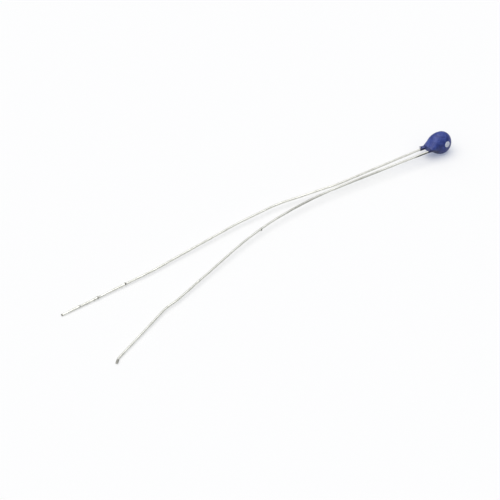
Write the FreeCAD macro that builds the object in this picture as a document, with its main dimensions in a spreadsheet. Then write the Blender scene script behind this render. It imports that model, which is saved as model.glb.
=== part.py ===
# A leaded ceramic thermistor: a disc with an electrode and a soldered wire on each face, dipped in lacquer.
# It lies as it comes to rest on a level surface: the bead stands on its rim, leaning back a little,
# and the two bare wire leads slope down behind it to their cut ends.
# Millimetres and degrees. +X points to the bead's nose, +Z is up, and the near side is -Y.
# The origin is the middle of the ceramic disc.
import FreeCAD, Part
import math
import os
import Sketcher

Vector = FreeCAD.Vector

BEAD_SIZES = {
    "BeadWide": 4.1,        # over the lacquer, across the disc
    "BeadThick": 3.2,       # over the lacquer, from face to face
    "LeanBack": 15.0,       # how far the disc leans away from the near side
    "ShoulderBack": 0.85,   # where the round bead turns into the neck, a little high
    "ShoulderTall": 3.81,
    "ShoulderRise": 0.06,   # how far that section lies above the disc's middle
    "WaistBack": 1.9,       # the neck's middle section
    "WaistTall": 2.42,
    "WaistThick": 2.8,
    "WaistRise": 0.04,
    "NeckBack": 2.9,        # the neck's end section
    "NeckTall": 0.96,
    "NeckDrop": 0.12,       # how far that section lies below the disc's middle
    "NeckWall": 0.14,       # lacquer outside the wires at the neck's end
    "NeckRound": 0.1,       # radius of the neck's end edge
    "SleeveRootBack": 2.0,  # inside the neck, where the lacquer begins to creep along each wire
    "SleeveRootWide": 0.84,
    "NearSleeveBack": 3.3,  # where it stops on each wire
    "FarSleeveBack": 3.5,
    "SleeveHollow": 6.0,    # radius of the hollow curve between the two
    "SleeveWall": 0.04,     # lacquer on the wire where it stops
}

INNER_SIZES = {
    "DiscWide": 3.0,        # ceramic disc
    "DiscThick": 1.2,
    "ElectrodeWide": 2.8,   # fired silver on each face
    "ElectrodeThick": 0.03,
    "SolderFilm": 0.02,     # solder between the electrode and the wire
    "SolderLong": 2.4,
    "SolderTall": 1.3,
    "SolderCover": 0.08,    # solder over the wire at the mound's crest
}

WIRE_SIZES = {
    "WireWide": 0.4,        # tinned wire
    "LeadDrop": 0.3,        # how far the wires lie below the disc's middle
    "LeadReach": 0.9,       # how far they reach past the middle, towards the nose
    "TipLong": 0.3,         # the end that the cutter pinched
    "TipThin": 0.1,
}

# Each lead is a row of straight runs, with a turn of a given radius between one run and the next.
# A turn above zero swings the lead towards the near side.
NEAR_ROUTE = {
    "NearRunOne": 3.6,
    "NearRunTwo": 18.0,
    "NearRunThree": 13.2,
    "NearRunFour": 0.4,
    "NearRunFive": 11.8,
    "NearTurnOne": -1.0,
    "NearTurnTwo": 22.5,
    "NearTurnThree": -8.5,
    "NearTurnFour": 14.0,
    "NearRadiusOne": 20.0,
    "NearRadiusTwo": 62.0,
    "NearRadiusThree": 8.0,
    "NearRadiusFour": 10.0,
}

FAR_ROUTE = {
    "FarRunOne": 5.6,
    "FarRunTwo": 15.8,
    "FarRunThree": 8.8,
    "FarRunFour": 5.7,
    "FarRunFive": 15.0,
    "FarRunSix": 16.2,
    "FarTurnOne": 1.0,
    "FarTurnTwo": -6.0,
    "FarTurnThree": 10.0,
    "FarTurnFour": 4.0,
    "FarTurnFive": -3.7,
    "FarRadiusOne": 20.0,
    "FarRadiusTwo": 15.0,
    "FarRadiusThree": 15.0,
    "FarRadiusFour": 40.0,
    "FarRadiusFive": 15.0,
}

ORDER = ["One", "Two", "Three", "Four", "Five", "Six"]
# In the bead's own frame the near lead lies on the -Y face of the disc and the far lead on the +Y face.
FACES = {"Near": -1, "Far": 1}


def all_sizes():
    """Put the driving sizes in one table."""
    return {**BEAD_SIZES, **INNER_SIZES, **WIRE_SIZES, **NEAR_ROUTE, **FAR_ROUTE}


def in_order(side, kind):
    """Give a lead's runs, turns or radii from its bead end to its tip."""
    route = {**NEAR_ROUTE, **FAR_ROUTE}
    return [route[side + kind + place] for place in ORDER if side + kind + place in route]


def add_sheet(doc):
    """Keep the driving sizes in the document's sheet."""
    sheet = doc.addObject("Spreadsheet::Sheet", "Sizes")
    for row, (name, value) in enumerate(all_sizes().items(), start=1):
        sheet.set("A%d" % row, name)
        sheet.set("B%d" % row, str(value))
        sheet.setAlias("B%d" % row, name)
    doc.recompute()


def add_worked(doc):
    """Work out what follows from the driving sizes alone."""
    worked = doc.addObject("App::VarSet", "Worked")
    expressions = {
        "FaceOut": "Sizes.DiscThick / 2 + Sizes.ElectrodeThick",
        "LeadOut": "FaceOut + Sizes.SolderFilm + Sizes.WireWide / 2",
        "SolderOut": "Sizes.SolderFilm + Sizes.WireWide + Sizes.SolderCover",
        "ShoulderShare": "sqrt(1 - (2 * Sizes.ShoulderBack / Sizes.BeadWide) ^ 2)",
        "NeckOut": "LeadOut + Sizes.WireWide / 2 + Sizes.NeckWall",
        "RestDrop": "sqrt((Sizes.BeadWide * cos(Sizes.LeanBack)) ^ 2"
                    " + (Sizes.BeadThick * sin(Sizes.LeanBack)) ^ 2) / 2",
        "NearSide": "-LeadOut * cos(Sizes.LeanBack) - Sizes.LeadDrop * sin(Sizes.LeanBack)",
        "NearHigh": "LeadOut * sin(Sizes.LeanBack) - Sizes.LeadDrop * cos(Sizes.LeanBack)",
        "FarSide": "LeadOut * cos(Sizes.LeanBack) - Sizes.LeadDrop * sin(Sizes.LeanBack)",
        "FarHigh": "-LeadOut * sin(Sizes.LeanBack) - Sizes.LeadDrop * cos(Sizes.LeanBack)",
    }
    for name, expression in expressions.items():
        worked.addProperty("App::PropertyFloat", name)
        worked.setExpression(name, expression)
    doc.recompute()


def add_rest(doc):
    """Work out each lead's slope from its bead end down to its tip, and how the bead rests between them."""
    worked = doc.Worked
    for side in FACES:
        fall = "(%sHigh + RestDrop - Sizes.WireWide / 2) * 1 mm" % side
        worked.addProperty("App::PropertyAngle", side + "Slope")
        worked.setExpression(side + "Slope", "asin(%s / %sRoute.Constraints.Span)" % (fall, side))
    pitch = "rotation(vector(0; 1; 0); -(NearSlope + FarSlope) / 2)"
    lean = "rotation(vector(1; 0; 0); -Sizes.LeanBack)"
    worked.addProperty("App::PropertyPlacement", "Rest")
    worked.setExpression("Rest", "placement(vector(0; 0; 0); %s * %s)" % (pitch, lean))
    doc.recompute()


def worked_out(doc, expression):
    """Give the present value of an expression over the named sizes."""
    return float(doc.Worked.evalExpression(expression))


def origin_plane(body, role):
    """Find one of a body's own origin planes."""
    for feature in body.Origin.OriginFeatures:
        if feature.Role == role:
            return feature
    raise ValueError("no origin plane " + role)


def add_sketch(body, name, support, **moves):
    """Start a sketch on an origin plane or a face of its body, moved by named distances."""
    sketch = body.newObject("Sketcher::SketchObject", name)
    sketch.AttachmentSupport = [support]
    sketch.MapMode = "FlatFace"
    for axis, expression in moves.items():
        sketch.setExpression("AttachmentOffset.Base." + axis, expression)
    return sketch


def bind(sketch, kind, geometry, value, size):
    """Add a dimension to a sketch and bind it to named sizes."""
    index = sketch.addConstraint(Sketcher.Constraint(kind, *geometry, value))
    sketch.setExpression("Constraints[%d]" % index, size)


def add_circle(sketch, doc, wide):
    """Draw a circle of a named width round the sketch's origin."""
    value = worked_out(doc, wide)
    circle = sketch.addGeometry(Part.Circle(Vector(0, 0, 0), Vector(0, 0, 1), value / 2), False)
    sketch.addConstraint(Sketcher.Constraint("Coincident", circle, 3, -1, 1))
    bind(sketch, "Diameter", [circle], value, wide)


def bind_axes(sketch, doc, long_axis, upright, wide, tall):
    """Bind an ellipse's two axes, the long one first, to a named width and height."""
    spans = [tall, wide] if upright else [wide, tall]
    sketch.addConstraint(Sketcher.Constraint("Vertical" if upright else "Horizontal", long_axis))
    for axis, span in enumerate(spans, start=long_axis):
        bind(sketch, "Distance", [axis], worked_out(doc, span), span)


def add_half_ellipse(sketch, doc, wide, tall, lower):
    """Draw the upper or lower half of an ellipse of a named width and height round the sketch's origin."""
    width = worked_out(doc, wide)
    height = worked_out(doc, tall)
    upright = height > width
    middle = Vector(0, 0, 0)
    right = Vector(width / 2, 0, 0)
    top = Vector(0, height / 2, 0)
    curve = Part.Ellipse(top, -right, middle) if upright else Part.Ellipse(right, top, middle)
    start = (-math.pi / 2 if upright else 0) + (math.pi if lower else 0)
    half = sketch.addGeometry(Part.ArcOfEllipse(curve, start, start + math.pi), False)
    sketch.exposeInternalGeometry(half)
    bind_axes(sketch, doc, half + 1, upright, wide, tall)
    sketch.addConstraint(Sketcher.Constraint("Coincident", half, 3, -1, 1))
    return half


def add_section(doc, body, name, back, wide, tall, drop="0"):
    """Draw a cross section of the droplet, a named distance behind the disc's middle, as two half ellipses."""
    sketch = add_sketch(body, name, (origin_plane(body, "YZ_Plane"), ""), z="-(%s)" % back, y="-(%s)" % drop)
    for lower in (False, True):
        half = add_half_ellipse(sketch, doc, wide, tall, lower)
        for end in (1, 2):
            sketch.addConstraint(Sketcher.Constraint("PointOnObject", half, end, -1))
    return sketch


def add_nose(doc, body):
    """Make the front half of the round bead, with its flat back across the disc's middle."""
    nose = body.newObject("PartDesign::AdditiveEllipsoid", "Nose")
    nose.AttachmentSupport = [(origin_plane(body, "YZ_Plane"), "")]
    nose.MapMode = "FlatFace"
    nose.Angle1 = 0
    nose.setExpression("Radius1", "Sizes.BeadWide / 2")
    nose.setExpression("Radius2", "Sizes.BeadThick / 2")
    nose.setExpression("Radius3", "Sizes.BeadWide / 2")
    doc.recompute()


def add_neck(doc, body):
    """Loft the back half of the bead down to the flat neck that holds both wires."""
    sections = [
        add_section(doc, body, "Middle", "0", "Sizes.BeadThick", "Sizes.BeadWide"),
        add_section(doc, body, "Shoulder", "Sizes.ShoulderBack", "Sizes.BeadThick * Worked.ShoulderShare",
                    "Sizes.ShoulderTall", drop="-Sizes.ShoulderRise"),
        add_section(doc, body, "Waist", "Sizes.WaistBack", "Sizes.WaistThick", "Sizes.WaistTall",
                    drop="-Sizes.WaistRise"),
        add_section(doc, body, "NeckEnd", "Sizes.NeckBack", "2 * Worked.NeckOut", "Sizes.NeckTall",
                    drop="Sizes.NeckDrop"),
    ]
    loft = body.newObject("PartDesign::AdditiveLoft", "Neck")
    loft.Profile = sections[0]
    loft.Sections = sections[1:]
    doc.recompute()
    back = -BEAD_SIZES["NeckBack"]
    rim = [
        "Edge%d" % number
        for number, edge in enumerate(loft.Shape.Edges, start=1)
        if abs(edge.BoundBox.XMax - back) < 1e-4 and abs(edge.BoundBox.XMin - back) < 1e-4
    ]
    fillet = body.newObject("PartDesign::Fillet", "NeckEdge")
    fillet.Base = (loft, rim)
    fillet.setExpression("Radius", "Sizes.NeckRound")
    doc.recompute()


def add_sleeve(doc, body, side):
    """Revolve the lacquer that creeps along a wire, thinning in a hollow curve."""
    stop = side + "SleeveBack"
    sketch = add_sketch(
        body, side + "SleeveProfile", (origin_plane(body, "XY_Plane"), ""),
        y="%d * Worked.LeadOut" % FACES[side], z="-Sizes.LeadDrop",
    )
    root = Vector(-BEAD_SIZES["SleeveRootBack"], BEAD_SIZES["SleeveRootWide"] / 2, 0)
    end = Vector(-BEAD_SIZES[stop], WIRE_SIZES["WireWide"] / 2 + BEAD_SIZES["SleeveWall"], 0)
    foot = Vector(root.x, 0, 0)
    tip = Vector(end.x, 0, 0)
    radius = BEAD_SIZES["SleeveHollow"]
    chord = root - end
    rise = math.sqrt(radius ** 2 - chord.Length ** 2 / 4)
    outward = Vector(-chord.y, chord.x, 0).normalize()
    centre = (root + end) / 2 + outward * rise
    angles = sorted(math.atan2(point.y - centre.y, point.x - centre.x) for point in (root, end))
    hollow = sketch.addGeometry(Part.ArcOfCircle(Part.Circle(centre, Vector(0, 0, 1), radius), *angles), False)
    back, axis, front = sketch.addGeometry([
        Part.LineSegment(end, tip), Part.LineSegment(tip, foot), Part.LineSegment(foot, root)], False)
    for join in ((hollow, 1, back, 1), (back, 2, axis, 1), (axis, 2, front, 1), (front, 2, hollow, 2)):
        sketch.addConstraint(Sketcher.Constraint("Coincident", *join))
    sketch.addConstraint(Sketcher.Constraint("Vertical", back))
    sketch.addConstraint(Sketcher.Constraint("Vertical", front))
    sketch.addConstraint(Sketcher.Constraint("PointOnObject", axis, 1, -1))
    sketch.addConstraint(Sketcher.Constraint("PointOnObject", axis, 2, -1))
    bind(sketch, "Distance", [back], end.y, "Sizes.WireWide / 2 + Sizes.SleeveWall")
    bind(sketch, "Distance", [front], root.y, "Sizes.SleeveRootWide / 2")
    bind(sketch, "DistanceX", [axis, 1, -1, 1], -end.x, "Sizes." + stop)
    bind(sketch, "DistanceX", [axis, 2, -1, 1], -root.x, "Sizes.SleeveRootBack")
    bind(sketch, "Radius", [hollow], radius, "Sizes.SleeveHollow")
    sleeve = body.newObject("PartDesign::Revolution", side + "Sleeve")
    sleeve.Profile = sketch
    sleeve.ReferenceAxis = (sketch, ["H_Axis"])
    sleeve.Angle = 360
    doc.recompute()


def add_droplet(doc):
    """Shape the dipped lacquer as a solid droplet, before what it covers is taken out."""
    body = doc.addObject("PartDesign::Body", "Droplet")
    add_nose(doc, body)
    add_neck(doc, body)
    for side in FACES:
        add_sleeve(doc, body, side)
    body.setExpression("Placement", "Worked.Rest")
    return body


def add_plate(doc, label, wide, start, thick):
    """Pad a round plate of the disc's stack, from a named distance on the near side outwards."""
    name = "".join(word.capitalize() for word in label.split("_"))
    body = doc.addObject("PartDesign::Body", name)
    body.Label = label
    sketch = add_sketch(body, name + "Circle", (origin_plane(body, "XZ_Plane"), ""), z=start)
    add_circle(sketch, doc, wide)
    pad = body.newObject("PartDesign::Pad", name + "Pad")
    pad.Profile = sketch
    pad.setExpression("Length", thick)
    body.setExpression("Placement", "Worked.Rest")
    return body


def add_route(body, side):
    """Draw a lead's route: straight runs with tangent turns between them."""
    turns = in_order(side, "Turn")
    radii = in_order(side, "Radius")
    sketch = add_sketch(body, side + "Route", (origin_plane(body, "XY_Plane"), ""))
    start = Vector(WIRE_SIZES["LeadReach"], 0, 0)
    heading = math.pi
    joint = None
    for number, length in enumerate(in_order(side, "Run")):
        place = ORDER[number]
        ahead = Vector(math.cos(heading), math.sin(heading), 0)
        end = start + ahead * length
        line = sketch.addGeometry(Part.LineSegment(start, end), False)
        bind(sketch, "Distance", [line], length, "Sizes.%sRun%s" % (side, place))
        if joint is None:
            sketch.addConstraint(Sketcher.Constraint("Horizontal", line))
            sketch.addConstraint(Sketcher.Constraint("PointOnObject", line, 1, -1))
            bind(sketch, "DistanceX", [-1, 1, line, 1], start.x, "Sizes.LeadReach")
        else:
            sketch.addConstraint(Sketcher.Constraint("Tangent", *joint, line, 1))
        if number == len(turns):
            break
        turn = math.radians(turns[number])
        radius = radii[number]
        inward = Vector(-ahead.y, ahead.x, 0) * math.copysign(radius, turn)
        centre = end + inward
        first = math.atan2(-inward.y, -inward.x)
        span = sorted((first, first + turn))
        arc = sketch.addGeometry(Part.ArcOfCircle(Part.Circle(centre, Vector(0, 0, 1), radius), *span), False)
        enter, leave = (1, 2) if turn > 0 else (2, 1)
        sketch.addConstraint(Sketcher.Constraint("Tangent", line, 2, arc, enter))
        bind(sketch, "Radius", [arc], radius, "Sizes.%sRadius%s" % (side, place))
        bind(sketch, "Angle", [arc], abs(turn), "abs(Sizes.%sTurn%s) * 1 deg" % (side, place))
        joint = (arc, leave)
        start = centre + Vector(math.cos(first + turn), math.sin(first + turn), 0) * radius
        heading += turn
    span = sketch.addConstraint(Sketcher.Constraint("DistanceX", line, 2, -1, 1, -end.x))
    sketch.setDriving(span, False)
    sketch.renameConstraint(span, "Span")
    return sketch


def add_tip(doc, body, wire, side):
    """Squeeze the wire's cut end to a level edge, as a side cutter leaves it."""
    faces = wire.Shape.Faces
    flat = [number for number, face in enumerate(faces) if isinstance(face.Surface, Part.Plane)]
    end = min(flat, key=lambda number: faces[number].CenterOfMass.x)
    rim = next(
        number for number, edge in enumerate(wire.Shape.Edges, start=1) if edge.isSame(faces[end].Edges[0])
    )
    support = (wire, "Face%d" % (end + 1))
    round_end = add_sketch(body, side + "TipRoot", support)
    edge_end = add_sketch(body, side + "TipEdge", support, z="Sizes.TipLong")
    for sketch in (round_end, edge_end):
        doc.recompute()
        sketch.addExternal(wire.Name, "Edge%d" % rim)
        middle = sketch.Placement.inverse().multVec(faces[end].CenterOfMass)
        middle.z = 0
        if sketch is round_end:
            circle = Part.Circle(middle, Vector(0, 0, 1), WIRE_SIZES["WireWide"] / 2)
            outline = sketch.addGeometry(circle, False)
            sketch.addConstraint(Sketcher.Constraint("Equal", outline, -3))
        else:
            across = middle + Vector(WIRE_SIZES["WireWide"] / 2, 0, 0)
            up = middle + Vector(0, WIRE_SIZES["TipThin"] / 2, 0)
            outline = sketch.addGeometry(Part.Ellipse(across, up, middle), False)
            sketch.exposeInternalGeometry(outline)
            bind_axes(sketch, doc, outline + 1, False, "Sizes.WireWide", "Sizes.TipThin")
        sketch.addConstraint(Sketcher.Constraint("Coincident", outline, 3, -3, 3))
    tip = body.newObject("PartDesign::AdditiveLoft", side + "Tip")
    tip.Profile = round_end
    tip.Sections = [edge_end]
    doc.recompute()


def add_lead(doc, side):
    """Sweep a wire along its route and pinch its cut end."""
    body = doc.addObject("PartDesign::Body", side + "Lead")
    body.Label = "lead_" + side.lower()
    route = add_route(body, side)
    section = add_sketch(body, side + "Section", (origin_plane(body, "YZ_Plane"), ""), z="Sizes.LeadReach")
    add_circle(section, doc, "Sizes.WireWide")
    wire = body.newObject("PartDesign::AdditivePipe", side + "Wire")
    wire.Profile = section
    wire.Spine = (route, [])
    doc.recompute()
    add_tip(doc, body, wire, side)
    return body


def place_lead(lead, side):
    """Start a lead at its face of the disc and slope it down to rest its tip on the surface."""
    start = "vector(0; Worked.%sSide; Worked.%sHigh)" % (side, side)
    slope = "rotation(vector(0; 1; 0); -Worked.%sSlope)" % side
    lead.setExpression("Placement", "placement(%s; %s)" % (start, slope))


def cut(doc, name, base, tool):
    """Take one solid out of another."""
    result = doc.addObject("Part::Cut", name)
    result.Base = base
    result.Tool = tool
    return result


def add_mound(doc, side):
    """Shape the solder on an electrode as half an ellipsoid, before the wire is taken out of it."""
    mound = doc.addObject("Part::Ellipsoid", side + "Mound")
    mound.Angle1 = 0
    mound.setExpression("Radius1", "Worked.SolderOut")
    mound.setExpression("Radius2", "Sizes.SolderLong / 2")
    mound.setExpression("Radius3", "Sizes.SolderTall / 2")
    base = "vector(0; %d * Worked.FaceOut; -Sizes.LeadDrop)" % FACES[side]
    outward = "rotation(vector(1; 0; 0); %d)" % (-90 * FACES[side])
    mound.setExpression("Placement", "Worked.Rest * placement(%s; %s)" % (base, outward))
    return mound


def build(doc):
    """Build every piece and give them in a list."""
    add_sheet(doc)
    add_worked(doc)
    leads = {side: add_lead(doc, side) for side in FACES}
    add_rest(doc)
    for side, lead in leads.items():
        place_lead(lead, side)
    stack = [
        add_plate(doc, "ceramic_disc", "Sizes.DiscWide", "-Sizes.DiscThick / 2", "Sizes.DiscThick"),
        add_plate(doc, "electrode_near", "Sizes.ElectrodeWide", "Sizes.DiscThick / 2", "Sizes.ElectrodeThick"),
        add_plate(doc, "electrode_far", "Sizes.ElectrodeWide", "-Worked.FaceOut", "Sizes.ElectrodeThick"),
    ]
    mounds = {side: add_mound(doc, side) for side in FACES}
    solders = []
    for side, lead in leads.items():
        solder = cut(doc, side + "Solder", mounds[side], lead)
        solder.Label = "solder_" + side.lower()
        solders.append(solder)
    coating = add_droplet(doc)
    for covered in stack + list(mounds.values()) + list(leads.values()):
        coating = cut(doc, "Around" + covered.Name, coating, covered)
    coating.Label = "coating"
    doc.recompute()
    return [coating] + stack + solders + list(leads.values())


def check(doc, pieces):
    """Stop if any object failed or any piece isn't one sound solid."""
    for item in doc.Objects:
        if "Invalid" in item.State or "Error" in item.State:
            raise RuntimeError("failed: " + item.Name)
    for piece in pieces:
        if piece.Shape.isNull() or not piece.Shape.isValid() or len(piece.Shape.Solids) != 1:
            raise RuntimeError("not a sound solid: " + piece.Label)


def main():
    doc = FreeCAD.newDocument("Thermistor")
    pieces = build(doc)
    check(doc, pieces)
    os.makedirs("parts", exist_ok=True)
    for piece in pieces:
        piece.Shape.exportStep("parts/%s.step" % piece.Label)
        box = piece.Shape.BoundBox
        print("%-15s %8.3f mm3  x %.2f to %.2f  y %.2f to %.2f  z %.2f to %.2f" % (
            piece.Label, piece.Shape.Volume, box.XMin, box.XMax, box.YMin, box.YMax, box.ZMin, box.ZMax))


main()
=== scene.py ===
import math

import bmesh
import bpy
from mathutils import Matrix, Vector, noise
from mathutils.bvhtree import BVHTree


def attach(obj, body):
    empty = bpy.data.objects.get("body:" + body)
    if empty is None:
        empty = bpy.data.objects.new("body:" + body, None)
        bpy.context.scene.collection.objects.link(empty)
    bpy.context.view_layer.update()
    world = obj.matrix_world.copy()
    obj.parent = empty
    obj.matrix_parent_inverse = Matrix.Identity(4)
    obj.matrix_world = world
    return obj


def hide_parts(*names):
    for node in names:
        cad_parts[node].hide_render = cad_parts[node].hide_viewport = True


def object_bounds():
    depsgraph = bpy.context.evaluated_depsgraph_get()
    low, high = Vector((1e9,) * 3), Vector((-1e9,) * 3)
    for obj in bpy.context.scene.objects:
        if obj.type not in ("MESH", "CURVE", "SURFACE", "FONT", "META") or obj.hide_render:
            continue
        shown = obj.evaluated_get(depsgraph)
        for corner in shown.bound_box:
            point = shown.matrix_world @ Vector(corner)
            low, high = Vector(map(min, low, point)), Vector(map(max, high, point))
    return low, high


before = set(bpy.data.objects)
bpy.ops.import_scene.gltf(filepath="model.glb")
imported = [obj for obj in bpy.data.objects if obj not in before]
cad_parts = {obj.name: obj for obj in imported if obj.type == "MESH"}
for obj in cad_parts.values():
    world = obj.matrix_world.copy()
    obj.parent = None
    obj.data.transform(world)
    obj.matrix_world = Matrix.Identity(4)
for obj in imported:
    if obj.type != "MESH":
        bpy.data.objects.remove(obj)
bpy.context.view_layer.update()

# Lengths are millimetres and angles degrees until a piece is finished. Then its mesh is scaled to metres.
MM = 0.001

# The bead's own frame: +X to the nose, Y across the disc's thickness, Z up the disc. The bead leans back by
# LEAN, its neck drops away from NECK_DROP_FROM on, and the floor lies REST_DROP under the disc's middle.
NOSE = 2.05
NECK_BACK = 2.9
NECK_DROP = 0.12
NECK_DROP_FROM = 0.8
LEAN = 15.0
REST_DROP = 2.0230

# A lead beside the disc: how far out and down its middle line lies, and how far towards the nose it starts.
DISC_LEAD_OUT = 0.85
LEAD_DROP = 0.3
LEAD_REACH = 0.9

# The wire, and the length and flatness of its pinched tip.
WIRE_RADIUS = 0.2
TIP_LONG = 0.3
TIP_FLAT = 0.25

# A turn above zero swings a lead towards the near side. "end" is its last stretch: its length, its bend, how
# much of it is dark and how dark. A mark is a bead of tin, a nick or a stain: how far along the wire, its
# length, its height over the wire's radius, the side it sits on and how dark it is. "tinned" tells where
# solder lies, and the entry after it where the wire's underside gets painted shade.
LEADS = {
    "near": {
        "face": -1,
        "run": [3.6, 18.0, 13.2, 0.4, 11.8],
        "turn": [-1.0, 22.5, -8.5, 14.0],
        "radius": [20.0, 62.0, 8.0, 10.0],
        "end": {"long": 0.95, "turn": 21.0, "radius": 0.3, "dark": 0.95, "shade": 0.57},
        "marks": [
            (17.5, 8.0, 0.0, 0.0, 0.44),
            (29.5, 8.0, 0.0, 0.0, 0.48),
            (39.3, 0.13, 0.75, -70.0, 0.90),
            (54.8, 0.14, 0.20, 120.0, 0.4),
            (63.2, 0.18, 0.08, 200.0, 0.2),
        ],
        "tinned": (73.8, 76.0),
        "flux": (3.5, 7.4),
        "seed": 3.0,
    },
    "far": {
        "face": 1,
        "run": [5.6, 15.8, 8.8, 5.7, 15.0, 16.2],
        "turn": [1.0, -6.0, 10.0, 4.0, -3.7],
        "radius": [20.0, 15.0, 15.0, 40.0, 15.0],
        "end": {"long": 0.5, "turn": -9.0, "radius": 0.5, "dark": 0.42, "shade": 0.70},
        "marks": [
            (72.6, 0.20, 0.42, 80.0, 0.46),
            (71.2, 0.26, 0.20, 250.0, 0.36),
            (70.0, 0.16, 0.26, 20.0, 0.46),
            (69.3, 0.26, 0.42, 100.0, 0.54),
            (64.9, 0.14, 0.34, 270.0, 0.40),
            (64.2, 0.10, 0.62, 95.0, 0.80),
        ],
        "tinned": (68.6, 73.4),
        "flux": (0.0, 0.0),
        "seed": 8.0,
    },
}

# Wire bent by hand never runs quite true: the height, length and row of noise of each wave in its line and
# its width. Its line sways in full from LEAD_FREE on, and not at all up to LEAD_HELD.
LEAD_SWAYS = ((0.045, 7.0, 0.0), (0.015, 2.2, 5.0))
LEAD_SWELLS = ((0.02, 1.3, 9.0),)
LEAD_HELD = 6.0
LEAD_FREE = 16.0

# The lengths of wire over which the painted shade on the underside begins and ends, and a dark tip ends.
SHADE_RISE = 0.5
SHADE_FADE = 1.2
STAIN_FADE = 0.30

# The rings of the droplet: degrees from one to the next over the nose, their number along the neck, and the
# distances of the last ones from its end. Rays find them from SKIN_FAR out.
NOSE_STEP = 4
NECK_RINGS = 40
NECK_LAST = (0.07, 0.03, 0.005)
SKIN_FAR = 4.0

# The lacquer that creeps along each wire: where it begins and ends, its radius there and its sag between.
SLEEVE_ROOT = 2.0
SLEEVE_ROOT_RADIUS = 0.42
SLEEVE_END_RADIUS = 0.24
SLEEVE_SAG = 0.035
SLEEVE_STOP = {"near": 3.3, "far": 3.85}
SLEEVE_RINGS = 20

# Its uneven edge and its rounded lip.
EDGE_WANDER = 0.10
EDGE_WAVES = 1.3
LIP_RINGS = 5
LIP_LONG = 0.05
LIP_DEEP = 0.075

# A torn edge of lacquer that stands off the far wire: how far back, its offset up and out, and its radius.
SPUR_UP = (0.532, 0.846)
SPUR = [(2.55, 0.10, 0.30), (2.80, 0.16, 0.29), (3.05, 0.24, 0.23), (3.25, 0.32, 0.16), (3.42, 0.39, 0.12),
        (3.58, 0.44, 0.10), (3.70, 0.46, 0.08)]

# How coarsely the skin flows together, and how far and how often it is smoothed.
SKIN_VOXEL = 0.036
SKIN_SMOOTH = 0.5
SKIN_ROUNDS = 5

# Where the lacquer ran together as it dried: the place, how far the swell reaches and how high it stands.
SWELLS = (((-1.35, 0.85, 1.35), 0.85, 0.105), ((0.5, -1.0, -1.6), 1.0, 0.045))

# The waves of its thickness: height, waves to the millimetre, start in the noise. The sleeves are calmer.
LACQUER_WAVES = (
    (0.016, 0.75, (3.0, 0.0, 0.0)),
    (0.007, 2.1, (0.0, 7.0, 0.0)),
    (0.0022, 6.5, (0.0, 0.0, 0.0)),
)
SLEEVE_CALM = 0.35

# The side that faces down and to the front, as Y and Z, where painted shade darkens the bead's underside
# and the far sleeve and where wet lacquer ran; and the middle of the far sleeve, in metres.
UNDERSIDE_TOWARDS = (-0.628, -0.778)
FAR_SLEEVE_AT = (0.000743, -0.00051)

# The side of a wire, round its middle line, that gets painted shade: its underside near the bead.
SHADE_SIDE_TOWARDS = (-0.73, 0.68)

# The ink dot lies where a line from DOT_FROM to the disc's middle meets the skin. DOT_RINGS are shares of
# its radius, and DOT_RAY is how far above the skin each ray starts.
DOT_FROM = (1.19, -4.29, 0.08)
DOT_WIDE = 1.1
DOT_WOBBLE = 0.05
DOT_THICK = 0.012
DOT_SUNK = 0.012
DOT_SIDES = 64
DOT_RINGS = (0.0, 0.2, 0.4, 0.6, 0.75, 0.86, 0.94, 0.985, 1.0)
DOT_RAY = 0.5

# Shares of the light on level ground, which add up to 1: a colour then renders about as it is written.
KEY_SHARE = 0.5
SURROUND_SHARE = 0.5

# The soft light: its tint, how wide it looks, and where it stands.
KEY_TINT = (1.05, 1.01, 0.94)
KEY_WIDE = 70.0
KEY_HIGH = 78.0
KEY_AZIMUTH = 240.0

# The surround: its light's tint, what it shows, its level at the edge and the cosines it rises between.
SURROUND_TINT = (0.95, 0.99, 1.06)
SURROUND_SHOWN = (0.985, 0.99, 1.0)
SKY_EDGE = 0.3
SKY_SPREAD = (-0.1, 0.85)

# What the floor shows in full light, what it throws back, and the bluer tint of its glow near the bead,
# which paints the bead's shadow blue.
FLOOR_WHITE = (0.983, 0.985, 0.991)
FLOOR_BOUNCE = (0.34, 0.35, 0.37)
FLOOR_COOL = (0.88, 1.00, 1.36)

# The glow's share of the shown white near the bead and far off, and where it changes, in metres: the smaller
# share near the bead paints its shadow deeper.
FLOOR_GLOW = (0.25, 0.55)
FLOOR_REACH = (0.005, 0.013)

# The floor's half width in metres, and its gap under what rests on it.
FLOOR_HALF = 3.0
FLOOR_GAP = 0.002

# The camera: lens, sensor, nearest and farthest sight in metres, direction, aim and distance.
CAMERA_LENS = 100.0
CAMERA_SENSOR = 36.0
CAMERA_SIGHT = (0.01, 20.0)
CAMERA_AZIMUTH = -30.23
CAMERA_HIGH = 43.0
CAMERA_AIM = (-41.71, -5.23, -1.97)
CAMERA_AWAY = 226.35


class Value:
    """One output of a node. Arithmetic on it adds Math nodes."""

    def __init__(self, graph, made, socket):
        self.graph = graph
        self.made = made
        self.socket = socket

    def out(self, name):
        """Give another output of the same node."""
        return Value(self.graph, self.made, self.graph.find(self.made.outputs, name))

    def math(self, operation, first, second):
        """Add a Math node."""
        return self.graph.node("ShaderNodeMath", {"operation": operation}, {0: first, 1: second})

    def __add__(self, other):
        return self.math("ADD", self, other)

    def __sub__(self, other):
        return self.math("SUBTRACT", self, other)

    def __mul__(self, other):
        return self.math("MULTIPLY", self, other)

    def __radd__(self, other):
        return self.math("ADD", other, self)

    def __rsub__(self, other):
        return self.math("SUBTRACT", other, self)

    def __rmul__(self, other):
        return self.math("MULTIPLY", other, self)

    def __rtruediv__(self, other):
        return self.math("DIVIDE", other, self)


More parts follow.
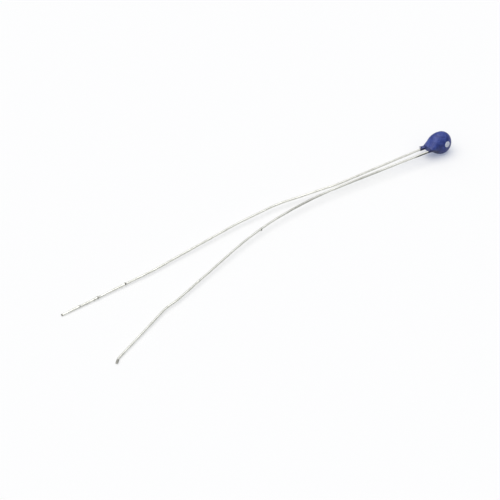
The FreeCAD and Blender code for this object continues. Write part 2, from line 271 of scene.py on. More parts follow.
class Graph:
    """Adds nodes to one tree."""

    def __init__(self, tree):
        self.tree = tree

    def find(self, sockets, key):
        """Find a socket by its place, its identifier or its name."""
        if isinstance(key, int):
            return sockets[key]
        named = [socket for socket in sockets if key in (socket.identifier, socket.name)]
        return next((socket for socket in named if socket.identifier == key), named[0])

    def node(self, kind, settings=None, inputs=None, output=0):
        """Add a node: its settings first, then the values or links of its sockets."""
        made = self.tree.nodes.new(kind)
        for name, value in (settings or {}).items():
            if name == "stops":
                self.set_stops(made.color_ramp, value)
            else:
                setattr(made, name, value)
        for name, value in (inputs or {}).items():
            socket = self.find(made.inputs, name)
            if isinstance(value, Value):
                self.tree.links.new(value.socket, socket)
            else:
                socket.default_value = value
        if not len(made.outputs):
            return Value(self, made, None)
        return Value(self, made, self.find(made.outputs, output))

    def set_stops(self, band, stops):
        """Give a colour ramp its stops."""
        while len(band.elements) < len(stops):
            band.elements.new(1.0)
        for element, (place, colour) in zip(band.elements, stops):
            element.position = place
            element.color = colour

    def speckle(self, at, scale, detail=2.0, rough=0.5, wander=0.0, seed=0.0):
        """Soft noise with so many features to the coordinate's unit."""
        inputs = {
            "Vector": at,
            "W": seed,
            "Scale": scale,
            "Detail": detail,
            "Roughness": rough,
            "Distortion": wander,
        }
        return self.node("ShaderNodeTexNoise", {"noise_dimensions": "4D"}, inputs)

    def step(self, value, low, high):
        """Rise smoothly from 0 at low to 1 at high."""
        return self.node(
            "ShaderNodeMapRange", {"interpolation_type": "SMOOTHSTEP"},
            {"Value": value, "From Min": low, "From Max": high, "To Min": 0.0, "To Max": 1.0},
        )

    def blend(self, share, shade_under_sleeve, over):
        """Lay one colour over another."""
        return self.node(
            "ShaderNodeMix", {"data_type": "RGBA", "clamp_factor": True},
            {"Factor_Float": share, "A_Color": shade_under_sleeve, "B_Color": over}, output="Result_Color",
        )

    def scaled(self, vector, by):
        """Make a vector so many times as long."""
        return self.node("ShaderNodeVectorMath", {"operation": "SCALE"}, {0: vector, "Scale": by})

    def between(self, one, two):
        """Give the way from one vector to another."""
        return self.node("ShaderNodeVectorMath", {"operation": "SUBTRACT"}, {0: two, 1: one})

    def parts(self, vector):
        """Split a vector: the value is its X, and out gives Y and Z."""
        return self.node("ShaderNodeSeparateXYZ", None, {"Vector": vector}, output="X")

    def joined(self, x, y, z):
        """Make a vector of three values."""
        return self.node("ShaderNodeCombineXYZ", None, {"X": x, "Y": y, "Z": z})


class Finish(Graph):
    """A surface material, built on the principled shader."""

    def __init__(self, name):
        self.material = bpy.data.materials.new(name)
        self.material.use_nodes = True
        super().__init__(self.material.node_tree)
        self.tree.nodes.clear()
        self.at = self.node("ShaderNodeTexCoord", output="Object")

    def attribute(self, name, output="Fac"):
        """Read what the piece's mesh stores under a name."""
        return self.node("ShaderNodeAttribute", {"attribute_name": name}, output=output)

    def bump(self, height, deep, strength):
        """Raise the surface by a height from 0 to 1, over so many metres."""
        return self.node("ShaderNodeBump", None, {"Height": height, "Distance": deep, "Strength": strength})

    def close(self, **sockets):
        """Finish with the principled shader."""
        inputs = {}
        for name, value in sockets.items():
            inputs[name.replace("_", " ").title().replace("Ior", "IOR")] = value
        surface = self.node("ShaderNodeBsdfPrincipled", None, inputs)
        self.node("ShaderNodeOutputMaterial", None, {"Surface": surface})
        return self.material


def shown_rays(graph):
    """1 for what the camera sees, straight or in a reflection, and 0 for light that only bounces."""
    path = graph.node("ShaderNodeLightPath", output="Is Camera Ray")
    seen = path + path.out("Is Glossy Ray") + path.out("Is Transmission Ray")
    return graph.node("ShaderNodeMath", {"operation": "MINIMUM"}, {0: seen, 1: 1.0})


def dipped_lacquer():
    """Blue dipped lacquer: cloudy pigment, orange peel, a few pinholes and scuffs, painted shade on its
    underside, where it also pooled, and painted shade under the far sleeve.
    """
    f = Finish("dipped_lacquer")
    cloud = f.speckle(f.at, 850.0, detail=3.0, rough=0.55, wander=0.4, seed=1.0)
    mottle = f.speckle(f.at, 3800.0, detail=3.0, rough=0.6, seed=2.0)
    grain = f.speckle(f.at, 14000.0, seed=3.0)
    tone = 0.5 * cloud + 0.35 * mottle + 0.15 * grain
    pigment = f.node("ShaderNodeValToRGB", {"stops": [
        (0.40, (0.014, 0.028, 0.172, 1.0)),
        (0.50, (0.028, 0.050, 0.260, 1.0)),
        (0.60, (0.060, 0.096, 0.380, 1.0)),
    ]}, {"Fac": tone})
    x = f.parts(f.at)
    y = x.out("Y")
    z = x.out("Z")

    # How far behind the disc's middle, in metres, with a frayed limit.
    back = 0.0004 * (mottle - 0.5) - x
    thin = f.step(back, 0.0024, 0.0030)
    pigment = f.blend(0.35 * thin, pigment, (0.105, 0.115, 0.220, 1.0))
    # Painted shade, partly also pooled lacquer: the underside behind the disc is darkened almost to navy
    # black.
    depth = UNDERSIDE_TOWARDS[0] * y + UNDERSIDE_TOWARDS[1] * z + 0.4 * back
    pooled_and_shaded = f.step(depth, 0.00150, 0.00185) * f.step(back, 0.0008, 0.0014)
    pigment = f.blend(0.75 * pooled_and_shaded, pigment, (0.006, 0.010, 0.060, 1.0))
    # Painted shade: the neck's end under the far sleeve is darkened almost to black, and the far lacquer's
    # end is made just as dark.
    below = UNDERSIDE_TOWARDS[0] * (y - FAR_SLEEVE_AT[0]) + UNDERSIDE_TOWARDS[1] * (z - FAR_SLEEVE_AT[1])
    shade_under_sleeve = f.step(below, -0.00005, 0.00008) * f.step(back, 0.0025, 0.0029)
    edge = 0.6 * f.step(back, 0.0032, 0.0035)
    sleeve_shade_and_dark_end = (shade_under_sleeve + edge - shade_under_sleeve * edge) * f.step(y, 0.00028, 0.00058)
    pigment = f.blend(0.95 * sleeve_shade_and_dark_end, pigment, (0.004, 0.004, 0.012, 1.0))
    scuffed = f.step(f.speckle(f.at, 1900.0, detail=6.0, rough=0.7, wander=0.6, seed=4.0), 0.60, 0.70)
    pigment = f.blend(0.22 * scuffed, pigment, (0.13, 0.15, 0.33, 1.0))
    cell = f.node("ShaderNodeTexVoronoi", {"feature": "F1"}, {"Vector": f.at, "Scale": 1300.0})
    chance = f.node("ShaderNodeSeparateColor", None, {"Color": cell.out("Color")}, output="Red")
    pinhole = (1.0 - f.step(cell, 0.03, 0.09)) * f.step(chance, 0.62, 0.64)
    pigment = f.blend(0.7 * pinhole, pigment, (0.004, 0.006, 0.03, 1.0))
    peel = 0.65 * mottle + 0.35 * grain - 0.6 * pinhole
    return f.close(
        base_color=pigment,
        roughness=0.42 + 0.16 * (mottle - 0.5) + 0.12 * scuffed,
        specular_ior_level=0.40,
        coat_weight=0.03,
        coat_roughness=0.3,
        normal=f.bump(peel, 0.000012, 0.55),
    )


def tinned_wire():
    """Tinned wire: drawing lines, dull patches, grainy where it was dipped in solder, dark where marked, and
    painted shade on its underside near the bead.
    """
    f = Finish("tinned_wire")
    along = f.attribute("along")
    out = f.parts(f.attribute("around", "Vector"))
    up = out.out("Y")
    drawn = f.joined(0.6 * along, 16.0 * out, 16.0 * up)
    skin = f.joined(along, 1.6 * out, 1.6 * up)
    lines = f.speckle(drawn, 1.0, detail=3.0, rough=0.6, seed=1.0)
    patch = f.speckle(skin, 0.9, detail=4.0, rough=0.6, wander=0.5, seed=2.0)
    crystal = f.speckle(skin, 11.0, detail=3.0, rough=0.6, wander=0.3, seed=3.0)
    dull = f.step(patch, 0.42, 0.62)
    tone = 0.45 * lines + 0.30 * crystal + 0.25 * (1.0 - dull)
    metal = f.node("ShaderNodeValToRGB", {"stops": [
        (0.28, (0.525, 0.530, 0.485, 1.0)),
        (0.50, (0.730, 0.736, 0.690, 1.0)),
        (0.72, (0.878, 0.884, 0.850, 1.0)),
    ]}, {"Fac": tone})
    frost = f.attribute("tinned") * f.step(crystal, 0.40, 0.60)
    metal = f.blend(0.55 * frost, metal, (0.52, 0.52, 0.49, 1.0))
    # Painted shade: near the bead the wire's underside is darkened almost to black, for shade and the dark
    # floor it reflects.
    low = SHADE_SIDE_TOWARDS[1] * up + SHADE_SIDE_TOWARDS[0] * out
    underside_shade = f.attribute("flux") * f.step(low, -0.25, 0.3)
    metal = f.blend(underside_shade * (0.95 + 0.6 * (patch - 0.5)), metal, (0.030, 0.033, 0.016, 1.0))
    oxide = f.step(f.attribute("stain") + 0.35 * (crystal - 0.5), 0.25, 0.75)
    metal = f.blend(0.85 * oxide, metal, (0.050, 0.048, 0.038, 1.0))
    return f.close(
        base_color=metal,
        metallic=1.0 - 0.35 * oxide - 0.4 * underside_shade,
        roughness=0.20 + 0.12 * dull + 0.10 * lines + 0.26 * frost + 0.15 * oxide + 0.2 * underside_shade,
        normal=f.bump(0.6 * lines + 0.4 * crystal, 0.000010, 0.5),
    )


def marking_ink():
    """Pale stamping ink, a little thin and blue at places."""
    f = Finish("marking_ink")
    body = f.speckle(f.at, 5200.0, detail=4.0, rough=0.6, wander=0.3, seed=1.0)
    grain = f.speckle(f.at, 19000.0, seed=2.0)
    ink = f.node("ShaderNodeValToRGB", {"stops": [
        (0.30, (0.60, 0.67, 0.92, 1.0)),
        (0.48, (0.80, 0.85, 0.98, 1.0)),
        (0.68, (0.88, 0.92, 1.00, 1.0)),
    ]}, {"Fac": 0.7 * body + 0.3 * grain})
    return f.close(
        base_color=ink,
        roughness=0.52 + 0.2 * (grain - 0.5),
        specular_ior_level=0.3,
        normal=f.bump(0.5 * body + 0.5 * grain, 0.000006, 0.5),
    )


def fired_ceramic():
    """Dark fired ceramic with a sugar-like grain and a few pores."""
    f = Finish("fired_ceramic")
    grain = f.speckle(f.at, 26000.0, detail=3.0, rough=0.6, seed=1.0)
    cloud = f.speckle(f.at, 1500.0, seed=2.0)
    pore = 1.0 - f.step(f.node("ShaderNodeTexVoronoi", None, {"Vector": f.at, "Scale": 5200.0}), 0.06, 0.14)
    body = f.node("ShaderNodeValToRGB", {"stops": [
        (0.30, (0.055, 0.044, 0.036, 1.0)),
        (0.50, (0.110, 0.090, 0.072, 1.0)),
        (0.70, (0.190, 0.160, 0.130, 1.0)),
    ]}, {"Fac": 0.6 * grain + 0.4 * cloud})
    body = f.blend(0.8 * pore, body, (0.015, 0.012, 0.010, 1.0))
    return f.close(
        base_color=body,
        roughness=0.72 + 0.15 * (grain - 0.5),
        normal=f.bump(grain - pore, 0.000012, 0.6),
    )


def fired_silver():
    """Screen-printed silver: the mesh's faint weave under a matt, slightly yellowed metal."""
    f = Finish("fired_silver")
    x = f.parts(f.at)
    thread = 2.0 * math.pi / 0.00012
    wave_x = f.node("ShaderNodeMath", {"operation": "SINE"}, {0: thread * x})
    wave_z = f.node("ShaderNodeMath", {"operation": "SINE"}, {0: thread * x.out("Z")})
    weave = 0.5 + 0.25 * (wave_x + wave_z)
    cloud = f.speckle(f.at, 2200.0, detail=3.0, rough=0.6, wander=0.2, seed=1.0)
    silver = f.blend(f.step(cloud, 0.4, 0.65), (0.72, 0.71, 0.68, 1.0), (0.52, 0.49, 0.42, 1.0))
    return f.close(
        base_color=silver,
        metallic=1.0,
        roughness=0.42 + 0.15 * (cloud - 0.5) + 0.05 * weave,
        normal=f.bump(0.5 * weave + 0.5 * cloud, 0.000004, 0.5),
    )


def soft_solder():
    """Soft solder: frosty crystals over a bright melt, with brown flux left in the hollows."""
    f = Finish("soft_solder")
    crystal = f.node("ShaderNodeTexVoronoi", {"feature": "F1"}, {"Vector": f.at, "Scale": 9000.0})
    melt = f.speckle(f.at, 2600.0, detail=4.0, rough=0.6, wander=0.5, seed=1.0)
    frost = f.step(melt, 0.45, 0.6)
    metal = f.blend(frost, (0.62, 0.62, 0.60, 1.0), (0.36, 0.36, 0.35, 1.0))
    flux = f.step(f.speckle(f.at, 1400.0, detail=3.0, wander=0.4, seed=2.0), 0.60, 0.70)
    metal = f.blend(0.5 * flux, metal, (0.16, 0.09, 0.03, 1.0))
    return f.close(
        base_color=metal,
        metallic=1.0 - 0.6 * flux,
        roughness=0.24 + 0.22 * frost + 0.1 * flux,
        normal=f.bump(0.6 * melt + 0.4 * crystal, 0.000008, 0.5),
    )


def studio_floor():
    """Pale paper over a glow. Both show one white together, and less of it where shade falls. Near the bead
    the glow is weaker and bluer, which paints its shadow deeper and bluer.
    """
    f = Finish("studio_floor")
    shown = shown_rays(f)
    distance = f.node("ShaderNodeVectorMath", {"operation": "LENGTH"}, {0: f.at}, output="Value")
    # Painted shadow: the glow is weaker and bluer near the bead, so its shadow shows deeper and bluer than
    # the light alone makes it.
    away = f.step(distance, *FLOOR_REACH)
    share = FLOOR_GLOW[0] + (FLOOR_GLOW[1] - FLOOR_GLOW[0]) * away
    glow_colour = f.blend(away, (*FLOOR_COOL, 1.0), (*FLOOR_WHITE, 1.0))
    paper = f.scaled(f.between(f.scaled(glow_colour, share), FLOOR_WHITE), 1.0 / (1.0 - share))
    lit = f.node("ShaderNodeBsdfDiffuse", None, {"Color": f.blend(shown, (*FLOOR_BOUNCE, 1.0), paper)})
    glow = f.node("ShaderNodeEmission", None, {"Color": glow_colour, "Strength": 1.0})
    surface = f.node("ShaderNodeMixShader", None, {0: share * shown, 1: lit, 2: glow})
    f.node("ShaderNodeOutputMaterial", None, {"Surface": surface})
    return f.material


def ramp(value, low, high):
    """Rise evenly from 0 at low to 1 at high."""
    return min(max((value - low) / (high - low), 0.0), 1.0)


def angles(count):
    """List so many angles, evenly spread round a circle."""
    return [2 * math.pi * number / count for number in range(count)]


def lay_lead(lead):
    """Tell how a lead starts at the disc's face and slopes down to rest its tip on the floor."""
    lean = math.radians(LEAN)
    out = lead["face"] * DISC_LEAD_OUT
    start = Vector((0.0, out * math.cos(lean) - LEAD_DROP * math.sin(lean),
                    -out * math.sin(lean) - LEAD_DROP * math.cos(lean)))
    span = -walk(lead["run"], lead["turn"], lead["radius"])[-1][1].x
    slope = math.asin((start.z + REST_DROP - WIRE_RADIUS) / span)
    return start, slope


def walk(runs, turns, radii, step=0.1):
    """Step along straight runs and the turns between them: each step's distance, place and heading."""
    place = Vector((LEAD_REACH, 0.0, 0.0))
    heading = math.pi
    along = 0.0
    steps = []
    for number, run in enumerate(runs):
        ahead = Vector((math.cos(heading), math.sin(heading), 0.0))
        count = max(1, round(run / step))
        for part in range(count):
            steps.append((along + run * part / count, place + ahead * (run * part / count), heading))
        place = place + ahead * run
        along += run
        if number == len(turns):
            break
        turn = math.radians(turns[number])
        radius = radii[number]
        centre = place + Vector((-ahead.y, ahead.x, 0.0)) * math.copysign(radius, turn)
        spoke = place - centre
        arc = abs(turn) * radius
        count = max(3, round(arc / step))
        for part in range(count):
            turned = turn * part / count
            steps.append((along + arc * part / count,
                          centre + Matrix.Rotation(turned, 3, "Z") @ spoke, heading + turned))
        place = centre + Matrix.Rotation(turn, 3, "Z") @ spoke
        heading += turn
        along += arc
    steps.append((along, place, heading))
    return steps


def wander(along, seed, waves):
    """Add up the waves of noise at one place along a wire."""
    return sum(high * noise.noise(Vector((along / long, seed, row))) for high, long, row in waves)


def draw_lead_line(side, lead):
    """Draw a lead's middle line, with what happens along it stored on its points."""
    end = lead["end"]
    runs = lead["run"][:-1] + [lead["run"][-1] + TIP_LONG - end["long"], end["long"]]
    steps = walk(runs, lead["turn"] + [end["turn"]], lead["radius"] + [end["radius"]])
    length = steps[-1][0]
    first, last = lead["tinned"]
    underside_shade, clear = lead["flux"]
    places = []
    facts = {name: [] for name in ("along", "swell", "pinch", "stain", "tinned", "flux")}
    for along, place, heading in steps:
        sideways = Vector((-math.sin(heading), math.cos(heading), 0.0))
        sway = wander(along, lead["seed"], LEAD_SWAYS)
        place = place + sideways * sway * ramp(along, LEAD_HELD, LEAD_FREE)
        swell = 1.0 + wander(along, lead["seed"], LEAD_SWELLS)
        stain = 0.0
        for where, long, high, angle, dark in lead["marks"]:
            near = math.exp(-((along - where) / long) ** 2)
            swell += 0.5 * high * near
            stain = max(stain, dark * near)
            lift = WIRE_RADIUS * 0.5 * high * near
            place = place + sideways * lift * math.cos(math.radians(angle))
            place.z += lift * math.sin(math.radians(angle))
        left = length - along
        here = {
            "along": along,
            "swell": swell,
            "pinch": 1.0 - (1.0 - TIP_FLAT) * max(0.0, 1.0 - left / TIP_LONG),
            "stain": max(stain, end["shade"] * ramp(end["dark"] - left, 0.0, STAIN_FADE)),
            "tinned": 1.0 if first < along < last else 0.0,
            "flux": min(ramp(along, underside_shade, underside_shade + SHADE_RISE), ramp(clear - along, 0.0, SHADE_FADE)),
        }
        places.append(place)
        for name, fact in here.items():
            facts[name].append(fact)
    mesh = bpy.data.meshes.new("line_" + side)
    mesh.from_pydata(places, [(number, number + 1) for number in range(len(places) - 1)], [])
    for name, values in facts.items():
        mesh.attributes.new(name, "FLOAT", "POINT").data.foreach_set("value", values)
    return mesh


def wire_tree():
    """Sweep a round wire along a line, ripple its tin and pinch its cut end."""
    tree = bpy.data.node_groups.new("Tinned wire", "GeometryNodeTree")
    inputs = (
        ("Line", "NodeSocketGeometry", None),
        ("Wire radius", "NodeSocketFloat", WIRE_RADIUS),
        ("Sides", "NodeSocketInt", 28),
        ("Ripple", "NodeSocketFloat", 0.004),
        ("Solder grain", "NodeSocketFloat", 0.012),
        ("Seed", "NodeSocketFloat", 0.0),
        ("Finish", "NodeSocketMaterial", None),
    )
    for name, kind, value in inputs:
        socket = tree.interface.new_socket(name=name, in_out="INPUT", socket_type=kind)
        if value is not None:
            socket.default_value = value
    tree.interface.new_socket(name="Wire", in_out="OUTPUT", socket_type="NodeSocketGeometry")
    g = Graph(tree)
    given = g.node("NodeGroupInput", output="Line")

    def read(name, kind="FLOAT"):
        settings = {"data_type": kind}
        return g.node("GeometryNodeInputNamedAttribute", settings, {"Name": name}, output="Attribute")

    def store(geometry, name, value):
        return g.node("GeometryNodeStoreNamedAttribute", {"data_type": "FLOAT_VECTOR", "domain": "POINT"},
                      {"Geometry": geometry, "Name": name, "Value": value})

    here = g.node("GeometryNodeInputPosition")
    line = g.node("GeometryNodeMeshToCurve", None, {"Mesh": given})
    line = store(line, "middle", here)
    ring = g.node("GeometryNodeCurvePrimitiveCircle", {"mode": "RADIUS"},
                  {"Resolution": given.out("Sides"), "Radius": given.out("Wire radius")})
    ring = store(ring, "around", g.scaled(here, 1.0 / WIRE_RADIUS))
    wire = g.node("GeometryNodeCurveToMesh", None,
                  {"Curve": line, "Profile Curve": ring, "Scale": read("swell"), "Fill Caps": True})
    spoke = g.between(read("middle", "FLOAT_VECTOR"), here)
    outward = g.node("ShaderNodeVectorMath", {"operation": "NORMALIZE"}, {0: spoke})
    around = g.parts(read("around", "FLOAT_VECTOR"))
    skin = g.joined(read("along"), around, around.out("Y"))

    # Noise lies round 0.5, so the ripple goes both ways and the grain of solder stands a little proud.
    ripple = g.speckle(skin, 1.1, seed=given.out("Seed")) - 0.5
    lumps = g.speckle(skin, 3.0, seed=given.out("Seed") + 20.0) - 0.42
    lift = ripple * given.out("Ripple") * 2.0 + lumps * given.out("Solder grain") * 2.0 * read("tinned")
    wire = g.node("GeometryNodeSetPosition", None, {"Geometry": wire, "Offset": g.scaled(outward, lift)})
    squeeze = g.joined(0.0, 0.0, g.parts(spoke).out("Z") * (read("pinch") - 1.0))
    wire = g.node("GeometryNodeSetPosition", None, {"Geometry": wire, "Offset": squeeze})
    wire = g.node("GeometryNodeSetShadeSmooth", None, {"Geometry": wire, "Shade Smooth": True})
    wire = g.node("GeometryNodeRealizeInstances", None, {"Geometry": wire})
    wire = g.node("GeometryNodeSetMaterial", None, {"Geometry": wire, "Material": given.out("Finish")})
    g.node("NodeGroupOutput", None, {"Wire": wire})
    return tree


def set_inputs(modifier, **values):
    """Set a tree's named inputs by their identifiers."""
    sockets = {item.name: item.identifier for item in modifier.node_group.interface.items_tree}
    for name, value in values.items():
        modifier[sockets[name]] = value


def add_object(name, data):
    """Add an object to the scene."""
    made = bpy.data.objects.new(name, data)
    bpy.context.scene.collection.objects.link(made)
    return made


def settle(made):
    """Turn an object's modifiers into plain mesh."""
    graph = bpy.context.evaluated_depsgraph_get()
    shaped = made.evaluated_get(graph)
    mesh = bpy.data.meshes.new_from_object(shaped, preserve_all_data_layers=True, depsgraph=graph)
    made.modifiers.clear()
    made.data = mesh


def place_piece(made, place, finish):
    """Bring a piece made in millimetres to its place in metres, smooth, and give it its finish."""
    made.data.transform(Matrix.Scale(MM, 4) @ place)
    made.data.materials.clear()
    made.data.materials.append(finish)
    made.data.shade_smooth()
    made.data.update()


def make_lead(side, lead, tree, finish):
    """Make one lead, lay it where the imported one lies, and tell its slope."""
    made = add_object("tinned_lead_" + side, draw_lead_line(side, lead))
    sweep = made.modifiers.new("sweep", "NODES")
    sweep.node_group = tree
    set_inputs(sweep, Seed=lead["seed"], Finish=finish)
    settle(made)
    start, slope = lay_lead(lead)
    place_piece(made, Matrix.Translation(start) @ Matrix.Rotation(-slope, 4, "Y"), finish)
    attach(made, "root")
    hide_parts("lead_" + side)
    return slope


def skin_of(mesh):
    """Give a mesh as a skin that rays can be cast at."""
    return BVHTree.FromPolygons([vertex.co.copy() for vertex in mesh.vertices],
                                [tuple(face.vertices) for face in mesh.polygons])


def add_rings(bm, rings, front=None):
    """Skin a row of rings and close both ends, the first one to a point where one is given."""
    rows = [[bm.verts.new(point) for point in ring] for ring in rings]
    count = len(rings[0])
    for one, two in zip(rows, rows[1:]):
        for number in range(count):
            after = (number + 1) % count
            bm.faces.new((one[number], one[after], two[after], two[number]))
    if front is None:
        bm.faces.new(reversed(rows[0]))
    else:
        tip = bm.verts.new(front)
        for number in range(count):
            bm.faces.new((tip, rows[0][(number + 1) % count], rows[0][number]))
    bm.faces.new(rows[-1])


def droplet_rings(skin, rest, count=96):
    """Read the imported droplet's outer skin, ring by ring from the nose to the neck's end."""
    backs = [-NOSE * math.cos(math.radians(angle)) for angle in range(NOSE_STEP, 90, NOSE_STEP)]
    backs += [NECK_BACK * part / NECK_RINGS for part in range(NECK_RINGS)]
    backs += [NECK_BACK - last for last in NECK_LAST]
    rings = []
    for back in sorted(backs):
        centre = Vector((-back, 0.0, -NECK_DROP * ramp(back, NECK_DROP_FROM, NECK_BACK)))
        ring = []
        for angle in angles(count):
            ray = Vector((0.0, math.cos(angle), math.sin(angle)))
            start = rest @ (centre + ray * SKIN_FAR) * MM
            found = skin.ray_cast(start, rest.to_3x3() @ -ray, SKIN_FAR * MM)[0]
            ring.append(rest.inverted() @ (found / MM))
        rings.append(ring)
    return rings


def sleeve_rings(side, lead, count=48):
    """Shape the lacquer that creeps along a wire and stops in an uneven edge with a rounded lip."""
    out = lead["face"] * DISC_LEAD_OUT
    rings = []
    for part in range(SLEEVE_RINGS + LIP_RINGS + 1):
        share = part / SLEEVE_RINGS
        crept = min(share, 1.0)
        lip = max(share - 1.0, 0.0) / (LIP_RINGS / SLEEVE_RINGS)
        radius = SLEEVE_ROOT_RADIUS + (SLEEVE_END_RADIUS - SLEEVE_ROOT_RADIUS) * crept
        radius -= 4 * SLEEVE_SAG * share * max(1.0 - share, 0.0)
        radius -= LIP_DEEP * lip ** 2
        ring = []
        for angle in angles(count):
            spot = Vector((math.cos(angle) * EDGE_WAVES, math.sin(angle) * EDGE_WAVES, lead["seed"]))
            edge = SLEEVE_STOP[side] + EDGE_WANDER * noise.noise(spot)
            back = SLEEVE_ROOT + (edge - SLEEVE_ROOT) * crept + LIP_LONG * lip
            ring.append(Vector((-back, out + radius * math.cos(angle),
                                -LEAD_DROP + radius * math.sin(angle))))
        rings.append(ring)
    return rings


def spur_rings(lead, count=32):
    """Shape the torn edge of lacquer beside the far wire."""
    out = lead["face"] * DISC_LEAD_OUT
    rings = []
    for back, off, radius in SPUR:
        centre = Vector((-back, out + off * SPUR_UP[0], off * SPUR_UP[1] - LEAD_DROP))
        rings.append([centre + Vector((0.0, radius * math.cos(angle), radius * math.sin(angle)))
                      for angle in angles(count)])
    return rings


def make_bead(rest, finish):
    """Make the dipped lacquer as one flowing skin: droplet, neck and the creep along both wires."""
    bm = bmesh.new()
    packed = skin_of(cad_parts["coating"].data)
    add_rings(bm, droplet_rings(packed, rest), front=Vector((NOSE, 0.0, 0.0)))
    for side, lead in LEADS.items():
        add_rings(bm, sleeve_rings(side, lead))
    add_rings(bm, spur_rings(LEADS["far"]))
    bmesh.ops.recalc_face_normals(bm, faces=bm.faces)
    mesh = bpy.data.meshes.new("lacquer_bead")
    bm.to_mesh(mesh)
    bm.free()
    made = add_object("lacquer_bead", mesh)
    remesh = made.modifiers.new("flow", "REMESH")
    remesh.mode = "VOXEL"
    remesh.voxel_size = SKIN_VOXEL
    smooth = made.modifiers.new("settle", "SMOOTH")
    smooth.factor = SKIN_SMOOTH
    smooth.iterations = SKIN_ROUNDS
    settle(made)
    ripple_skin(made.data)
    place_piece(made, rest, finish)
    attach(made, "root")
    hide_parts("coating")
    return made


def ripple_skin(mesh):
    """Give the lacquer its uneven thickness: slow swells and a fine orange peel."""
    moved = []
    for vertex in mesh.vertices:
        at = vertex.co
        gathered = sum(high * math.exp(-((at - Vector(place)).length / reach) ** 2)
                       for place, reach, high in SWELLS)
        waves = sum(high * noise.noise(at * often + Vector(start)) for high, often, start in LACQUER_WAVES)
        calm = SLEEVE_CALM if at.x < -NECK_BACK else 1.0
        moved.append(at + vertex.normal * (calm * waves + gathered))
    mesh.vertices.foreach_set("co", [number for point in moved for number in point])


def make_ink_dot(bead, rest, finish):
    """Stamp one plain round dot of ink beside the nose, on the near face."""
    skin = skin_of(bead.data)
    from_side = rest @ Vector(DOT_FROM) * MM
    centre, normal = skin.ray_cast(from_side, (-from_side).normalized())[:2]
    across = normal.cross(Vector((0.0, 0.0, 1.0))).normalized()
    up = normal.cross(across)
    tops = []
    bottoms = []
    for share in DOT_RINGS:
        thick = DOT_THICK * math.sqrt(max(0.0, 1.0 - share ** 8))
        for angle in angles(DOT_SIDES if share else 1):
            wobble = DOT_WOBBLE * noise.noise(Vector((2 * math.cos(angle), 2 * math.sin(angle), 4.0)))
            wide = DOT_WIDE / 2 * (1.0 + wobble)
            spot = centre + (across * math.cos(angle) + up * math.sin(angle)) * wide * share * MM
            found, lie = skin.ray_cast(spot + normal * DOT_RAY * MM, -normal)[:2]
            tops.append(found + lie * thick * MM)
            bottoms.append(found - lie * DOT_SUNK * MM)
    mesh = bpy.data.meshes.new("ink_dot")
    mesh.from_pydata(tops + bottoms, [], dot_faces(DOT_SIDES, len(DOT_RINGS) - 1, len(tops)))
    mesh.materials.append(finish)
    mesh.shade_smooth()
    made = add_object("ink_dot", mesh)
    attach(made, "root")


def dot_faces(count, rings, offset):
    """List the faces of a round patch: its top, its underside and the wall between them."""
    faces = []
    for base, flip in ((0, False), (offset, True)):
        for number in range(count):
            after = (number + 1) % count
            fan = [(base, base + 1 + number, base + 1 + after)]
            for ring in range(rings - 1):
                inner = base + 1 + ring * count
                outer = inner + count
                fan.append((inner + number, outer + number, outer + after, inner + after))
            faces += [tuple(reversed(face)) if flip else face for face in fan]
    rim = 1 + (rings - 1) * count
    for number in range(count):
        after = (number + 1) % count
        faces.append((rim + number, offset + rim + number, offset + rim + after, rim + after))
    return faces


def direction(azimuth, high):
    """Point so many degrees round from the front and so many degrees up."""
    azimuth = math.radians(azimuth)
    high = math.radians(high)
    return Vector((math.sin(azimuth) * math.cos(high), -math.cos(azimuth) * math.cos(high), math.sin(high)))


def turn_back(made, back):
    """Turn a lamp or a camera so that its back faces a direction."""
    made.rotation_mode = "QUATERNION"
    made.rotation_quaternion = back.to_track_quat("Z", "Y")


def add_floor():
    """Spread the pale floor just under what rests on it."""
    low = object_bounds()[0].z - FLOOR_GAP * MM
    corners = ((-1, -1), (1, -1), (1, 1), (-1, 1))
    mesh = bpy.data.meshes.new("floor")
    mesh.from_pydata([(x * FLOOR_HALF, y * FLOOR_HALF, low) for x, y in corners], [], [(0, 1, 2, 3)])
    mesh.materials.append(studio_floor())
    add_object("floor", mesh)


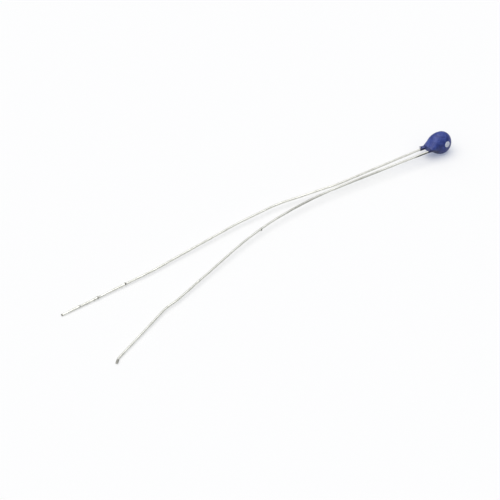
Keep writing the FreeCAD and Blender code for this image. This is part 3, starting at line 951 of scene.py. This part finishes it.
def add_light():
    """One very broad soft light from above, and a pale surround that dims towards its edge."""
    back = direction(KEY_AZIMUTH, KEY_HIGH)
    light = bpy.data.lights.new("softbox", "SUN")
    light.angle = math.radians(KEY_WIDE)
    light.energy = KEY_SHARE * math.pi / math.sin(math.radians(KEY_HIGH))
    light.color = KEY_TINT
    turn_back(add_object("softbox", light), back)
    world = bpy.data.worlds.new("surround")
    world.use_nodes = True
    world.node_tree.nodes.clear()
    g = Graph(world.node_tree)
    ahead = g.node("ShaderNodeTexCoord", output="Generated")
    settings = {"operation": "DOT_PRODUCT"}
    cosine = g.node("ShaderNodeVectorMath", settings, {0: ahead, 1: tuple(back)}, output="Value")
    shape = SKY_EDGE + (1.0 - SKY_EDGE) * g.step(cosine, *SKY_SPREAD)
    lit = SURROUND_SHARE / sky_mean(back)
    shown = shown_rays(g)
    level = shape * (lit + (1.0 - lit) * shown)
    tint = g.blend(shown, (*SURROUND_TINT, 1.0), (*SURROUND_SHOWN, 1.0))
    sky = g.node("ShaderNodeBackground", None, {"Color": tint, "Strength": level})
    g.node("ShaderNodeOutputWorld", None, {"Surface": sky})
    bpy.context.scene.world = world


def sky_mean(middle, count=60):
    """Average the surround's shape over the sky, as level ground sees it."""
    total = 0.0
    weight = 0.0
    for row in range(count):
        rise = math.radians(90.0 * (row + 0.5) / count)
        seen = math.cos(rise) * math.sin(rise)
        for turn in angles(count):
            ahead = Vector((math.cos(turn) * math.cos(rise), math.sin(turn) * math.cos(rise),
                            math.sin(rise)))
            share = ramp(ahead.dot(middle), *SKY_SPREAD)
            total += seen * (SKY_EDGE + (1.0 - SKY_EDGE) * share * share * (3.0 - 2.0 * share))
            weight += seen
    return total / weight


def add_camera():
    """Stand the camera where the photograph was taken from."""
    camera = bpy.data.cameras.new("camera")
    camera.lens = CAMERA_LENS
    camera.sensor_width = CAMERA_SENSOR
    camera.clip_start = CAMERA_SIGHT[0]
    camera.clip_end = CAMERA_SIGHT[1]
    made = add_object("camera", camera)
    back = direction(CAMERA_AZIMUTH, CAMERA_HIGH)
    made.location = (Vector(CAMERA_AIM) + back * CAMERA_AWAY) * MM
    turn_back(made, back)
    bpy.context.scene.camera = made


def finish_inside():
    """Give the pieces inside the bead their finishes."""
    finishes = {
        "ceramic_disc": fired_ceramic(),
        "electrode_near": fired_silver(),
        "electrode_far": fired_silver(),
        "solder_near": soft_solder(),
        "solder_far": soft_solder(),
    }
    for node, finish in finishes.items():
        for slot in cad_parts[node].material_slots:
            slot.material = finish


def main():
    """Stand the camera, make every piece and light it."""
    bpy.context.scene.view_settings.view_transform = "Standard"
    add_camera()
    tree = wire_tree()
    wire = tinned_wire()
    slopes = [make_lead(side, lead, tree, wire) for side, lead in LEADS.items()]
    rest = Matrix.Rotation(-sum(slopes) / 2, 4, "Y") @ Matrix.Rotation(-math.radians(LEAN), 4, "X")
    bead = make_bead(rest, dipped_lacquer())
    make_ink_dot(bead, rest, marking_ink())
    finish_inside()
    add_floor()
    add_light()


main()
